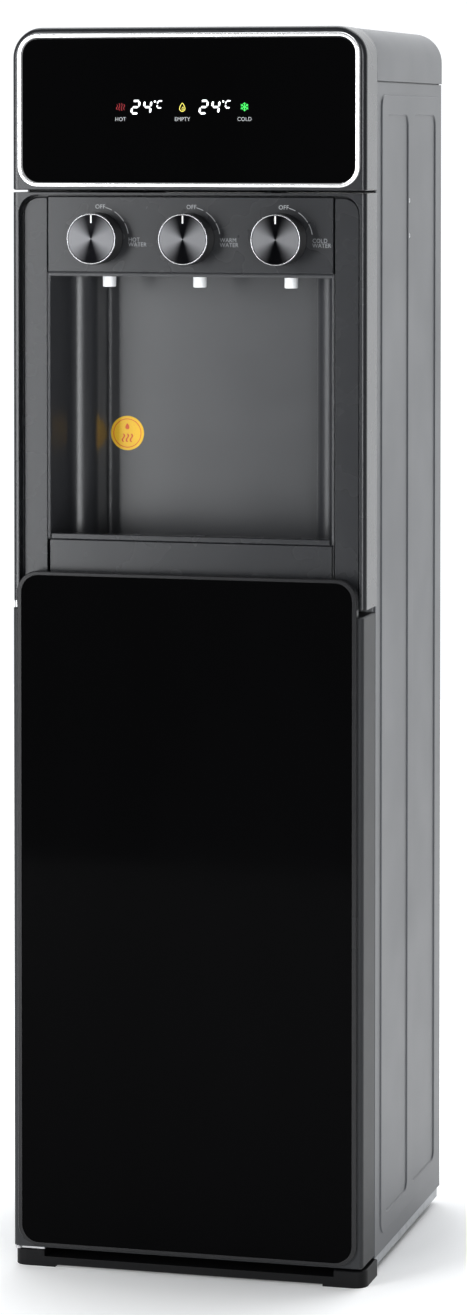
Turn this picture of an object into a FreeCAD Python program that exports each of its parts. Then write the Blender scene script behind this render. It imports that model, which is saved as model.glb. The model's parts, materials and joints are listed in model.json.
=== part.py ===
import FreeCAD, Part
import math
import os
from FreeCAD import Vector as V

os.makedirs("parts", exist_ok=True)

# ---------------------------------------------------------------- driving dimensions (mm)
W = 155.0            # half width of the case
Y_FRONT = -143.0     # front face of the moulded front frames
Y_SPLIT = -103.0     # joint between the front frames and the sheet-metal case
Y_REAR = 158.0       # outside of the rear panel
Z_TOP = 1062.0       # top of the head
Z_HEAD = 924.0       # underside of the head front frame
Z_UP0, Z_UP1 = 573.0, 922.0     # upper front frame
R_HEAD = 26.0        # top corner radius seen from the front
SHEET = 3.0          # depth of a side panel with its pressed steps
STEP = 1.1           # depth of one pressed step

KNOB_X = 80.4        # spacing of the three taps
KNOB_Z = 883.0
KNOB_R = 22.0
NOZZLE_Y = -103.0
NOZZLE_Z = 840.8     # lowest point of a nozzle
SPINDLE_R = 6.0
SPINDLE_BORE_R = 6.05

DOOR_W = 153.8
DOOR_Z0, DOOR_Z1 = 17.5, 567.4
DOOR_Y = -148.0      # front face of the door casing
DOOR_BACK = -104.0
TONGUE_Z = 599.2     # top of the raised door face, which is also the handle
HINGE_X, HINGE_Y = -151.0, -142.0
PIN_R, PIN_BORE_R = 2.0, 2.05

DECK_Z = 578.0       # top of the shelf between the bottle bay and the upper works
PIPE_X, PIPE_Y = -118.0, 122.0   # parked suction pipe
FAN_X, FAN_Z = 80.0, 668.0


# ---------------------------------------------------------------- helpers
def box(x0, x1, y0, y1, z0, z1):
    return Part.makeBox(x1 - x0, y1 - y0, z1 - z0, V(x0, y0, z0))


def cyl(r, p, d, h):
    return Part.makeCylinder(r, h, V(*p), V(*d))


def cone(r1, r2, p, d, h):
    return Part.makeCone(r1, r2, h, V(*p), V(*d))


def prism(pts, plane, a, b):
    """Prism of a polygon whose corners (u, v, r) are rounded by r."""
    def m(u, v):
        return {"xz": V(u, a, v), "xy": V(u, v, a), "yz": V(a, u, v)}[plane]
    ext = {"xz": V(0, b - a, 0), "xy": V(0, 0, b - a), "yz": V(b - a, 0, 0)}[plane]
    n = len(pts)
    corners = []
    for i, p in enumerate(pts):
        r = p[2] if len(p) > 2 else 0.0
        P = V(p[0], p[1], 0)
        if r <= 0:
            corners.append((P, None, P))
            continue
        A = V(pts[i - 1][0], pts[i - 1][1], 0)
        B = V(pts[(i + 1) % n][0], pts[(i + 1) % n][1], 0)
        d1 = (A - P).normalize()
        d2 = (B - P).normalize()
        half = d1.getAngle(d2) / 2
        t = r / math.tan(half)
        C = P + (d1 + d2).normalize() * (r / math.sin(half))
        corners.append((P + d1 * t, C + (P - C).normalize() * r, P + d2 * t))
    edges = []
    for i in range(n):
        a1, mid, a2 = corners[i]
        if mid is not None:
            edges.append(Part.Arc(m(a1.x, a1.y), m(mid.x, mid.y), m(a2.x, a2.y)).toShape())
        b1 = corners[(i + 1) % n][0]
        if (b1 - a2).Length > 1e-6:
            edges.append(Part.makeLine(m(a2.x, a2.y), m(b1.x, b1.y)))
    return Part.Face(Part.Wire(edges)).extrude(ext)


def rr(u0, u1, v0, v1, r, r2=None):
    """Rounded rectangle; r is the radius at v1, r2 (default r) the one at v0."""
    if r2 is None:
        r2 = r
    return [(u0, v0, r2), (u1, v0, r2), (u1, v1, r), (u0, v1, r)]


def fuse(*s):
    out = s[0].multiFuse(list(s[1:])) if len(s) > 1 else s[0]
    return out.removeSplitter()


def cut(s, *t):
    return s.cut(Part.makeCompound(list(t)) if len(t) > 1 else t[0])


def mirror_x(s):
    return s.mirror(V(0, 0, 0), V(1, 0, 0))


def both(s):
    return [s, mirror_x(s)]


def at_y(e, y):
    b = e.BoundBox
    return abs(b.YMin - y) < 1e-4 and abs(b.YMax - y) < 1e-4


def fil(s, r, test):
    es = [e for e in s.Edges if test(e)]
    return s.makeFillet(r, es)


def cham(s, r, test):
    es = [e for e in s.Edges if test(e)]
    return s.makeChamfer(r, es)


def save(name, s):
    if isinstance(s, (list, tuple)):
        s = Part.makeCompound(list(s))
    if len(s.Solids) == 1:
        s = s.Solids[0]
    if not s.isValid() or not s.Solids:
        print("CHECK", name, "valid", s.isValid(), "solids", len(s.Solids))
    s.exportStep("parts/%s.step" % name)
    bb = s.BoundBox
    print("%-20s n=%d vol=%9.0f  x %.1f..%.1f y %.1f..%.1f z %.1f..%.1f" % (
        name, len(s.Solids), s.Volume, bb.XMin, bb.XMax, bb.YMin, bb.YMax, bb.ZMin, bb.ZMax))
    return s


# ---------------------------------------------------------------- base
skirt = prism([(-W, -143, 11), (W, -143, 11), (W, -98), (-W, -98)], "xy", 0, 14.5)
skirt = cham(skirt, 1.0, lambda e: abs(e.BoundBox.ZMin - 14.5) < 1e-4)
skirt = cut(skirt, box(-127.7, 127.7, -160, -105, 8.6, 20),      # finger notch under the door
            box(-118, 118, -139, -98.01, -1, 5.5),               # hollow underside
            box(-118, 118, -150, -90, -1, 2.0))
save("base_skirt", skirt)

pan = fuse(box(-152, 152, -98, 155.5, 12.5, 15.5), box(-152, 152, -98, -95, 4, 13),
           box(-152, -149, -98, 155.5, 6, 13), box(149, 152, -98, 155.5, 6, 13))
pan = fuse(pan, *[box(x - 1.5, x + 1.5, -95, 150, 9.5, 13) for x in (-60, 0, 60)])
save("base_pan", pan)

feet = []
for x in (-118, 118):
    f = fuse(cyl(15, (x, 128, 0), (0, 0, 1), 7), cyl(5, (x, 128, 7), (0, 0, 1), 5.5))
    f = cham(f, 1.5, lambda e: abs(e.BoundBox.ZMin - 7) < 1e-4 and abs(e.BoundBox.ZMax - 7) < 1e-4 and e.BoundBox.XLength > 25)
    feet.append(f)
save("rear_feet", feet)


# ---------------------------------------------------------------- case
def side_panel():
    """Sheet panel: a raised field, with two long fields pressed back in."""
    s = prism([(-102.6, 15.6), (Y_REAR, 15.6), (Y_REAR, 1015.6), (-102.6, 1015.6)], "yz", W - SHEET, W - STEP)
    s = s.fuse(prism(rr(-83.5, 145.5, 30, 1005, 12), "yz", W - SHEET, W)).removeSplitter()
    for y0, y1, z0, z1 in ((-68.2, 17.7, 46.5, 987.7), (37.7, 128.6, 47.5, 988.0)):
        s = cut(s, prism(rr(y0, y1, z0, z1, 9), "yz", W - STEP, W + 1))
    s = cham(s, 0.8, lambda e: abs(e.BoundBox.XMin - W) < 1e-4 and abs(e.BoundBox.XMax - W) < 1e-4)
    for z in (913.7, 883.1):
        s = cut(s, cyl(1.75, (W - SHEET - 1, 23.5, z), (1, 0, 0), SHEET + 2),
                cyl(2.6, (W - 1.3, 23.5, z), (1, 0, 0), 3))
    return s


right = side_panel()
save("right_side_panel", right)
save("left_side_panel", mirror_x(right))

cover = prism([(-W, 1016.5), (W, 1016.5), (W, 1061.5, R_HEAD), (-W, 1061.5, R_HEAD)], "xz", -102.6, Y_REAR)
cover = fil(cover, 3.0, lambda e: at_y(e, Y_REAR) and e.BoundBox.ZMax > 1017)
cover = cut(cover, prism([(-152.4, 1010), (152.4, 1010), (152.4, 1058.9, 23.4), (-152.4, 1058.9, 23.4)], "xz", -110, 155.5))
# lugs that stand on the side panels' top edges inside
for x0, x1 in ((-152.4, -149), (149, 152.4)):
    cover = cover.fuse(box(x0, x1, -90, 150, 1004, 1020))
cover = cover.removeSplitter()
cover = cut(cover, box(152.0, 153, -200, 200, 1000, 1016.5), box(-153, -152.0, -200, 200, 1000, 1016.5))
save("top_cover", cover)

rear = box(-152, 152, 155.5, Y_REAR, 15.6, 1016.5)
slots = []
for i in range(13):
    z = 612 + 9.0 * i
    slots.append(prism(rr(32, 128, z, z + 4, 1.99), "xz", 150, 160))
for i in range(7):
    z = 930 + 9.0 * i
    for x0 in (-104, 10):
        slots.append(prism(rr(x0, x0 + 94, z, z + 4, 1.99), "xz", 150, 160))
slots.append(box(-135.5, -94.5, 150, 160, 699.5, 760.5))              # switch housing
slots.append(cyl(8.0, (-60, 150, 604), (0, 1, 0), 12))                # cord gland
slots.append(cyl(13.0, (-60, 157.0, 604), (0, 1, 0), 5))
REAR_SCREWS = [(x, z) for z in (40, 330, 620, 880, 1000) for x in (-143, 143)]
slots += [cyl(1.75, (x, 150, z), (0, 1, 0), 12) for x, z in REAR_SCREWS]
slots += [cyl(3.9, (x, Y_REAR - 1.3, z), (0, 1, 0), 12) for x, z in REAR_SCREWS]
rear = cut(rear, *slots)
save("rear_panel", rear)

deck = fuse(box(-152, 152, -103, 155.5, DECK_Z - 3, DECK_Z), box(-152, 152, -103, -101, DECK_Z - 16, DECK_Z - 3))
deck = cut(deck, cyl(7, (PIPE_X, PIPE_Y, 560), (0, 0, 1), 30))
save("mid_deck", deck)


def screw(p, d, h=1.3, r=3.6):
    """Pan-head screw with a cross recess; p is under the head."""
    p = V(*p)
    d = V(*d)
    head = Part.makeCylinder(r, h, p, d)
    head = cham(head, 0.4, lambda e: abs((e.CenterOfMass - (p + d * h)).Length) < 0.3 and len(e.Vertexes) == 1)
    s = head.fuse(Part.makeCylinder(1.7, 9.0, p - d * 9.0, d)).removeSplitter()
    # cross recess
    u = V(0, 0, 1)
    w = d.cross(u)
    for a, b in ((u, w), (w, u)):
        c = Part.makeBox(r, r / 4, 1.0)
        c.translate(V(-r / 2, -r / 8, 0))
        m = FreeCAD.Matrix(a.x, b.x, d.x, 0, a.y, b.y, d.y, 0, a.z, b.z, d.z, 0, 0, 0, 0, 1)
        if m.determinant() < 0:
            m = FreeCAD.Matrix(a.x, -b.x, d.x, 0, a.y, -b.y, d.y, 0, a.z, -b.z, d.z, 0, 0, 0, 0, 1)
        c = c.transformGeometry(m)
        c.translate(p + d * (h - 0.7))
        s = s.cut(c)
    return s


screws = [screw((x, Y_REAR - 1.3, z), (0, 1, 0)) for x, z in REAR_SCREWS]
for sx in (-1, 1):
    screws += [screw((sx * (W - 1.3), 23.5, z), (sx, 0, 0), 1.3, 2.4) for z in (913.7, 883.1)]
save("case_screws", screws)


# ---------------------------------------------------------------- head
head = prism([(-W, Z_HEAD), (W, Z_HEAD), (W, Z_TOP, R_HEAD), (-W, Z_TOP, R_HEAD)], "xz", Y_FRONT, Y_SPLIT)
head = fil(head, 4.5, lambda e: at_y(e, Y_FRONT) and e.BoundBox.ZMax > Z_HEAD + 1)
head = cham(head, 0.8, lambda e: at_y(e, Y_FRONT) and e.BoundBox.ZMax < Z_HEAD + 0.1)
head = cut(head, prism([(-151.6, Z_HEAD + 3.4), (151.6, Z_HEAD + 3.4), (151.6, Z_TOP - 3.4, R_HEAD - 3.4), (-151.6, Z_TOP - 3.4, R_HEAD - 3.4)], "xz", -139.0, -100))
head = cut(head, prism(rr(-149.6, 149.6, 926.8, 1056.8, 18.1), "xz", -150, -141.5))
head = cut(head, prism(rr(-66, 60, 980, 1004, 3), "xz", -145, -138))
for x0, x1 in ((-152, -149.5), (149.5, 152)):
    head = head.fuse(box(x0, x1, -106, -88, 940, 1004))
head = head.removeSplitter()
save("head_front_frame", head)

ring = prism(rr(-149.5, 149.5, 926.9, 1056.7, 18), "xz", -145.8, -141.5)
ring = fil(ring, 1.6, lambda e: at_y(e, -145.8))
ring = cut(ring, prism(rr(-145.6, 145.6, 930.4, 1052.4, 14.6), "xz", -150, -140))
ring = cham(ring, 0.5, lambda e: at_y(e, -145.8) and abs(e.BoundBox.XMin) < 145.8 and abs(e.BoundBox.XMax) < 145.8)
save("display_trim_ring", ring)

glass = prism(rr(-145.5, 145.5, 930.5, 1052.3, 14.5), "xz", -144.4, -141.5)
glass = cham(glass, 0.4, lambda e: at_y(e, -144.4))
save("display_glass", glass)

board = box(-75, 69, -136.4, -134.8, 972, 1012)
chips = [box(-51, -19, -140.9, -136.4, 985, 1001), box(9, 41, -140.9, -136.4, 985, 1001)]
chips += [cyl(1.6, (x, -136.4, 994.4), (0, -1, 0), 3.0) for x in (-58.2, -3.9, 50.3)]
chips += [box(-70, -62, -134.8, -131, 978, 990), box(45, 60, -134.8, -133, 986, 1000)]
chips += [cyl(3, (x, -139.0, z), (0, 1, 0), 3) for x in (-70.5, 64.5) for z in (976, 1008)]
board = fuse(board, *chips)
save("display_board", board)

# ---------------------------------------------------------------- upper front frame
uf = prism([(-W, Z_UP0), (W, Z_UP0), (W, Z_UP1), (-W, Z_UP1)], "xz", Y_FRONT, Y_SPLIT)
uf = fil(uf, 4.5, lambda e: at_y(e, Y_FRONT) and e.BoundBox.XLength < 1)
uf = cut(uf, prism([(-149.3, 560), (149.3, 560), (149.3, 920, 16), (-149.3, 920, 16)], "xz", -160, -90))
for s in (-1, 1):
    x0, x1 = sorted((s * 143.0, s * 149.6))
    uf = uf.fuse(box(x0, x1, -131, -127.5, Z_UP0, 918))                    # seat of the surround
    x0, x1 = sorted((s * 149.5, s * 152.0))
    uf = uf.fuse(box(x0, x1, -106, -88, 600, 900))                          # lug inside the side panel
    x0, x1 = sorted((s * 149.3, s * 155.0))
uf = uf.fuse(box(-149.4, 149.4, -131, -127.5, 904, 920.5))
uf = uf.fuse(box(-149.4, 149.4, -127.5, Y_SPLIT, Z_UP0, 577.5))
uf = uf.removeSplitter()
save("upper_front_frame", uf)

surround = prism([(-147.3, 578.5), (147.3, 578.5), (147.3, 918, 14.2), (-147.3, 918, 14.2)], "xz", -135, -131)
surround = cham(surround, 0.8, lambda e: at_y(e, -135) and e.BoundBox.ZMax > 579)
surround = cut(surround, box(-126.6, 126.6, -140, -130, 590, 930))
save("dispense_surround", surround)

cp = prism(rr(-125.4, 125.4, 854, 918.8, 1.5), "xz", -137, -134)
cp = cham(cp, 0.9, lambda e: at_y(e, -137))
cp = cp.fuse(box(-125.4, 125.4, -134, -131, 916.6, 918.8))
cp = cp.fuse(box(-125.4, 125.4, -134, -112, 854, 856.2))
for s in (-1, 1):
    x0, x1 = sorted((s * 123.2, s * 125.4))
    cp = cp.fuse(box(x0, x1, -134, -131, 854, 918.8))
    x0, x1 = sorted((s * 40.2 - 1, s * 40.2 + 1))
    cp = cp.fuse(box(x0, x1, -134, -112, 856, 900))
cp = cp.removeSplitter()
for i in (-1, 0, 1):
    cp = cut(cp, cyl(7.5, (i * KNOB_X, -140, KNOB_Z), (0, 1, 0), 20))
save("control_panel", cp)

# ---------------------------------------------------------------- dispensing niche
INNER = [(-123.8, -135.5), (-115, -97.5, 8), (-98.2, -91.5, 18.5), (-96.2, -53, 2), (96.2, -53, 2), (98.2, -91.5, 18.5), (115, -97.5, 8), (123.8, -135.5)]
OUTER = [(-126.1, -135.5), (-116.9, -95.8, 10.2), (-100.3, -89.9, 16.3), (-98.3, -50.8, 4), (98.3, -50.8, 4), (100.3, -89.9, 16.3), (116.9, -95.8, 10.2), (126.1, -135.5)]
niche = prism(OUTER, "xy", 596.2, 854.0)
niche = cut(niche, prism(INNER[:1] + INNER[1:], "xy", 598.4, 850.7))
niche = cut(niche, box(-140, 140, -140, -131.9, 590, 626.0), box(-123.0, 123.0, -140, -134, 598.4, 850.7))
niche = cut(niche, *[cyl(7.2, (i * KNOB_X, NOZZLE_Y, 845), (0, 0, 1), 12) for i in (-1, 0, 1)])
save("niche_liner", niche)

lower = prism(rr(-124, 124, 590, 625.5, 0.5), "xz", -136, -132.2)
lower = cham(lower, 0.5, lambda e: at_y(e, -136))
save("niche_lower_panel", lower)

TRAY = [(-119.3, -130.6), (-112.6, -99.4, 6), (-96.0, -93.3, 20.5), (-94.0, -55.2, 1.5), (94.0, -55.2, 1.5), (96.0, -93.3, 20.5), (112.6, -99.4, 6), (119.3, -130.6)]
TRAY_IN = [(-116.7, -128.4), (-110.6, -101.2, 4), (-93.7, -95.1, 22), (-91.8, -57.4, 1.5), (91.8, -57.4, 1.5), (93.7, -95.1, 22), (110.6, -101.2, 4), (116.7, -128.4)]
tray = prism(TRAY, "xy", 598.7, 620.0)
tray = tray.fuse(prism([(-119.3, -130.6), (-118.7, -128.4), (118.7, -128.4), (119.3, -130.6)], "xy", 598.7, 631.0))
tray = cut(tray, prism(TRAY_IN, "xy", 600.9, 640))
lip = prism([(-122.6, -137), (-119.7, -130.0), (119.7, -130.0), (122.6, -137)], "xy", 625.9, 631.0)
lip = cham(lip, 0.7, lambda e: at_y(e, -137))
tray = tray.fuse(lip)
for x, y in ((-60, -110), (0, -110), (60, -110), (-60, -72), (0, -72), (60, -72)):
    tray = tray.fuse(cyl(3, (x, y, 600.5), (0, 0, 1), 6.0))                 # posts under the grille
tray = tray.removeSplitter()
save("drip_tray", tray)

GRILLE = [(-116.0, -127.8), (-110.0, -101.7, 3.5), (-93.1, -95.6, 22.5), (-91.2, -58.0, 1.5), (91.2, -58.0, 1.5), (93.1, -95.6, 22.5), (110.0, -101.7, 3.5), (116.0, -127.8)]
grille = prism(GRILLE, "xy", 606.5, 610.5)
bars = []
for k in range(-10, 11):
    x = k * 9.2
    y0 = -122.5 if abs(x) < 108 else -118
    bars.append(prism(rr(x - 2.6, x + 2.6, y0, -103, 2.5), "xy", 605, 612))
    if abs(x) < 86:
        bars.append(prism(rr(x - 2.6, x + 2.6, -98, -63, 2.5), "xy", 605, 612))
grille = cut(grille, *bars)
save("drip_grille", grille)


# ---------------------------------------------------------------- taps, nozzles, spindles, knobs
def tap_body(x):
    """Quarter-turn valve body: flange on the panel, plug bore along Y, outlet boss down."""
    s = fuse(cyl(14, (x, -134, KNOB_Z), (0, 1, 0), 3), cyl(10.5, (x, -131.5, KNOB_Z), (0, 1, 0), 42),
             cyl(8.5, (x, NOZZLE_Y, 858), (0, 0, 1), 25), cyl(4.4, (x, NOZZLE_Y, 848.5), (0, 0, 1), 12),
             cyl(5.5, (x, -90, KNOB_Z), (0, 1, 0), 12))
    s = cut(s, cyl(SPINDLE_BORE_R, (x, -136, KNOB_Z), (0, 1, 0), 42),
            cyl(2.8, (x, NOZZLE_Y, 840), (0, 0, 1), 40), cyl(3.2, (x, -95, KNOB_Z), (0, 1, 0), 25))
    return s


def spindle(x):
    """Valve plug and knob shaft in one: the water way runs crosswise at rest."""
    s = cyl(SPINDLE_R, (x, -152.0, KNOB_Z), (0, 1, 0), 57.4)
    s = cut(s, cyl(2.8, (x - 10, NOZZLE_Y, KNOB_Z), (1, 0, 0), 20))
    s = cut(s, box(x - 8, x + 8, -153, -141, KNOB_Z + 4.6, KNOB_Z + 8))      # flat for the knob
    return s


def knob(x):
    """Hollow skirt with a hub; the shaft bore has a flat."""
    s = cone(21.6, 22.0, (x, -157.0, KNOB_Z), (0, 1, 0), 18.6)
    s = cham(s, 0.8, lambda e: at_y(e, -157.0))
    s = cut(s, cyl(20.6, (x, -160, KNOB_Z), (0, 1, 0), 4.6),
            cyl(19.4, (x, -153.2, KNOB_Z), (0, 1, 0), 30))
    hub = cyl(9.5, (x, -154.5, KNOB_Z), (0, 1, 0), 15.6)
    bore = cut(cyl(SPINDLE_R, (x, -152.0, KNOB_Z), (0, 1, 0), 20), box(x - 8, x + 8, -153, -141, KNOB_Z + 4.6, KNOB_Z + 8))
    ribs = [box(x - 0.8, x + 0.8, -154, -146, KNOB_Z - 20, KNOB_Z + 20), box(x - 20, x + 20, -154, -146, KNOB_Z - 0.8, KNOB_Z + 0.8)]
    s = s.fuse(hub).fuse(ribs[0]).fuse(ribs[1]).removeSplitter()
    return cut(s, bore)


def disc(x):
    """Spun metal face, slightly dished towards its rim."""
    s = cyl(20.4, (x, -158.0, KNOB_Z), (0, 1, 0), 2.6)
    return cham(s, 0.5, lambda e: at_y(e, -158.0))


for tag, i in (("hot", -1), ("warm", 0), ("cold", 1)):
    x = i * KNOB_X
    save(tag + "_tap_body", tap_body(x))
    save(tag + "_spindle", spindle(x))
    save(tag + "_knob", knob(x))
    save(tag + "_knob_disc", disc(x))

noz = []
for i in (-1, 0, 1):
    n = cyl(5.75, (i * KNOB_X, NOZZLE_Y, NOZZLE_Z), (0, 0, 1), 858 - NOZZLE_Z)
    n = cham(n, 0.6, lambda e: abs(e.BoundBox.ZMax - NOZZLE_Z) < 1e-4)
    noz.append(cut(n, cyl(4.45, (i * KNOB_X, NOZZLE_Y, 835), (0, 0, 1), 30)))
save("tap_nozzles", noz)


def bent_tube(pts, rads, r_out, r_in):
    """Tube along straight runs joined by tangent arcs."""
    P = [V(*p) for p in pts]
    edges, last = [], P[0]
    for k in range(1, len(P) - 1):
        d1 = (P[k - 1] - P[k]).normalize()
        d2 = (P[k + 1] - P[k]).normalize()
        half = d1.getAngle(d2) / 2
        t = rads[k - 1] / math.tan(half)
        C = P[k] + (d1 + d2).normalize() * (rads[k - 1] / math.sin(half))
        a, b = P[k] + d1 * t, P[k] + d2 * t
        edges.append(Part.makeLine(last, a))
        edges.append(Part.Arc(a, C + (P[k] - C).normalize() * rads[k - 1], b).toShape())
        last = b
    edges.append(Part.makeLine(last, P[-1]))
    path = Part.Wire(edges)
    d = (P[1] - P[0]).normalize()
    outer = path.makePipeShell([Part.Wire(Part.makeCircle(r_out, P[0], d))], True, False)
    inner = path.makePipeShell([Part.Wire(Part.makeCircle(r_in, P[0], d))], True, False)
    return outer.cut(inner)


# ---------------------------------------------------------------- tanks and cooling
TANK_R = 45.0
hot = cyl(TANK_R, (-KNOB_X, 25, 583), (0, 0, 1), 150)
hot = fil(hot, 6, lambda e: e.BoundBox.XLength > 50)
hot = cut(hot, fil(cyl(TANK_R - 1.2, (-KNOB_X, 25, 584.2), (0, 0, 1), 147.6), 5, lambda e: e.BoundBox.XLength > 50))
hot = hot.fuse(cyl(5.0, (-KNOB_X, 25, 732.5), (0, 0, 1), 14)).fuse(cyl(5.0, (-KNOB_X - 22, 25, 732.5), (0, 0, 1), 10)).removeSplitter()
hot = cut(hot, cyl(3.2, (-KNOB_X, 25, 700), (0, 0, 1), 60), cyl(3.2, (-KNOB_X - 22, 25, 700), (0, 0, 1), 60))
save("hot_tank", hot)

jacket = cyl(56.0, (-KNOB_X, 25, DECK_Z), (0, 0, 1), 152)
jacket = cut(jacket, cyl(TANK_R, (-KNOB_X, 25, 583), (0, 0, 1), 160))
save("hot_tank_jacket", jacket)

thermo = fuse(box(-KNOB_X + 8, -KNOB_X + 30, 14, 36, 733, 741), cyl(3, (-KNOB_X + 19, 25, 741), (0, 0, 1), 3),
              box(-KNOB_X + 12, -KNOB_X + 14, 20, 30, 741, 748), box(-KNOB_X + 24, -KNOB_X + 26, 20, 30, 741, 748))
save("thermostat", thermo)

cold = fil(box(35, 125, -20, 60, 595, 745), 10, lambda e: e.BoundBox.ZLength > 100)
cold = cut(cold, fil(box(36.5, 123.5, -18.5, 58.5, 596.5, 743.5), 8.5, lambda e: e.BoundBox.ZLength > 100))
cold = cold.fuse(box(55, 105, 60, 64, 643, 693)).fuse(cyl(5.0, (80.4, 15, 744.5), (0, 0, 1), 22)).removeSplitter()
cold = cut(cold, cyl(3.2, (80.4, 15, 735), (0, 0, 1), 40))
save("cold_tank", cold)

foam = box(18, 142, -37, 60, DECK_Z, 762)
foam = cut(foam, fil(box(35, 125, -20, 60, 595, 745), 10, lambda e: e.BoundBox.ZLength > 100), cyl(5.0, (80.4, 15, 740), (0, 0, 1), 30))
save("cold_tank_foam", foam)

save("peltier_module", box(FAN_X - 20, FAN_X + 20, 64, 68, FAN_Z - 20, FAN_Z + 20))

sink = fuse(box(FAN_X - 45, FAN_X + 45, 68, 75, FAN_Z - 45, FAN_Z + 45),
            *[box(FAN_X - 45 + k * 6.0, FAN_X - 45 + k * 6.0 + 1.6, 74.5, 110, FAN_Z - 45, FAN_Z + 45) for k in range(15)],
            box(FAN_X + 43.4, FAN_X + 45, 74.5, 110, FAN_Z - 45, FAN_Z + 45))
save("heat_sink", sink)

FC = (FAN_X, 0, FAN_Z)
frame = prism(rr(FAN_X - 46, FAN_X + 46, FAN_Z - 46, FAN_Z + 46, 6), "xz", 110, 135)
frame = cut(frame, cyl(43.5, (FAN_X, 105, FAN_Z), (0, 1, 0), 40))
struts = []
for k in range(4):
    b = box(FAN_X, FAN_X + 44.5, 131, 135, FAN_Z - 1.6, FAN_Z + 1.6)
    b.rotate(V(FAN_X, 0, FAN_Z), V(0, 1, 0), 45 + 90 * k)
    struts.append(b)
frame = fuse(frame, cyl(17, (FAN_X, 131, FAN_Z), (0, 1, 0), 4), cyl(5, (FAN_X, 120, FAN_Z), (0, 1, 0), 12), *struts)
frame = cut(frame, cyl(2.05, (FAN_X, 118, FAN_Z), (0, 1, 0), 12.5), *[cyl(2.2, (FAN_X + a * 41, 100, FAN_Z + b * 41), (0, 1, 0), 40) for a in (-1, 1) for b in (-1, 1)])
save("fan_frame", frame)

hub = cyl(18, (FAN_X, 112, FAN_Z), (0, 1, 0), 17)
hub = cut(hub, cyl(15.5, (FAN_X, 114.5, FAN_Z), (0, 1, 0), 20))
blades = []
for k in range(7):
    b = Part.makeBox(27, 1.8, 19, V(15.5, -0.9, -9.5))
    b.rotate(V(0, 0, 0), V(1, 0, 0), 52)
    b = b.common(box(0, 50, -6.8, 6.8, -30, 30))
    b.translate(V(FAN_X, 120.5, FAN_Z))
    b.rotate(V(FAN_X, 0, FAN_Z), V(0, 1, 0), 360.0 / 7 * k)
    blades.append(b)
rotor = hub
for b in blades:
    rotor = rotor.fuse(b)
rotor = cut(rotor, cyl(15.5, (FAN_X, 114.5, FAN_Z), (0, 1, 0), 20))
rotor = rotor.common(cyl(42.2, (FAN_X, 100, FAN_Z), (0, 1, 0), 40))
rotor = rotor.fuse(cyl(2.0, (FAN_X, 113, FAN_Z), (0, 1, 0), 16.5)).removeSplitter()
save("fan_rotor", rotor)

# ---------------------------------------------------------------- pump and suction line
pump = fuse(cyl(17, (-100, PIPE_Y, 604), (1, 0, 0), 66), box(-136, -100, PIPE_Y - 18, PIPE_Y + 18, 588, 622),
            cyl(12, (-34, PIPE_Y, 604), (1, 0, 0), 10), box(-24, 12, PIPE_Y - 9, PIPE_Y + 9, 596, 612),
            box(-96, -60, PIPE_Y - 20, PIPE_Y + 20, DECK_Z, 590), cyl(5, (0, PIPE_Y, 611), (0, 0, 1), 12),
            cyl(5.0, (PIPE_X, PIPE_Y, 580), (0, 0, 1), 9))
pump = cut(pump, cyl(3.2, (0, PIPE_Y, 604), (0, 0, 1), 30), cyl(3.2, (PIPE_X, PIPE_Y, 575), (0, 0, 1), 25))
save("pump", pump)

cap = fuse(cyl(27, (PIPE_X, PIPE_Y, 452), (0, 0, 1), 26), cyl(9, (PIPE_X, PIPE_Y, 478), (0, 0, 1), 10))
cap = fil(cap, 2.0, lambda e: abs(e.BoundBox.ZMin - 478) < 1e-4 and e.BoundBox.XLength > 50)
cap = cut(cap, cyl(24.6, (PIPE_X, PIPE_Y, 450), (0, 0, 1), 25), cyl(5.0, (PIPE_X, PIPE_Y, 440), (0, 0, 1), 60))
cap = cap.fuse(box(PIPE_X - 6, PIPE_X + 6, 148, 155.5, 462, 474)).removeSplitter()      # hook on the rear panel
save("suction_cap", cap)
pipe = cut(cyl(5.0, (PIPE_X, PIPE_Y, 40), (0, 0, 1), 440), cyl(3.6, (PIPE_X, PIPE_Y, 30), (0, 0, 1), 460))
pipe = cut(pipe, *[box(PIPE_X - 6, PIPE_X + 6, PIPE_Y - 1.2, PIPE_Y + 1.2, 36, 48)])
save("suction_pipe", pipe)
hose = cut(cyl(5.0, (PIPE_X, PIPE_Y, 480), (0, 0, 1), 100), cyl(3.6, (PIPE_X, PIPE_Y, 470), (0, 0, 1), 120))
save("suction_hose", hose)

hoses = [bent_tube([(-KNOB_X, -78, KNOB_Z), (-KNOB_X, 25, KNOB_Z), (-KNOB_X, 25, 746.5)], [30], 5.5, 3.6),
         bent_tube([(KNOB_X, -78, KNOB_Z), (KNOB_X, 15, KNOB_Z), (KNOB_X, 15, 766.5)], [30], 5.5, 3.6),
         bent_tube([(0, -78, KNOB_Z), (0, PIPE_Y, KNOB_Z), (0, PIPE_Y, 623.0)], [30], 5.5, 3.6)]
save("supply_hoses", hoses)

# ---------------------------------------------------------------- electrics on the rear panel
mb = box(-60, 60, 148.4, 150.0, 795, 895)
parts = [box(-52, -24, 128, 148.4, 805, 835), box(-15, 10, 134, 148.4, 803, 825), cyl(8, (30, 148.4, 815), (0, -1, 0), 22),
         cyl(6, (48, 148.4, 812), (0, -1, 0), 18), box(-50, 40, 140, 148.4, 874, 886), box(-5, 20, 144, 148.4, 840, 862)]
parts += [cyl(3.5, (x, 149.9, z), (0, 1, 0), 5.6) for x in (-55, 55) for z in (800, 890)]
save("main_board", fuse(mb, *parts))

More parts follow.
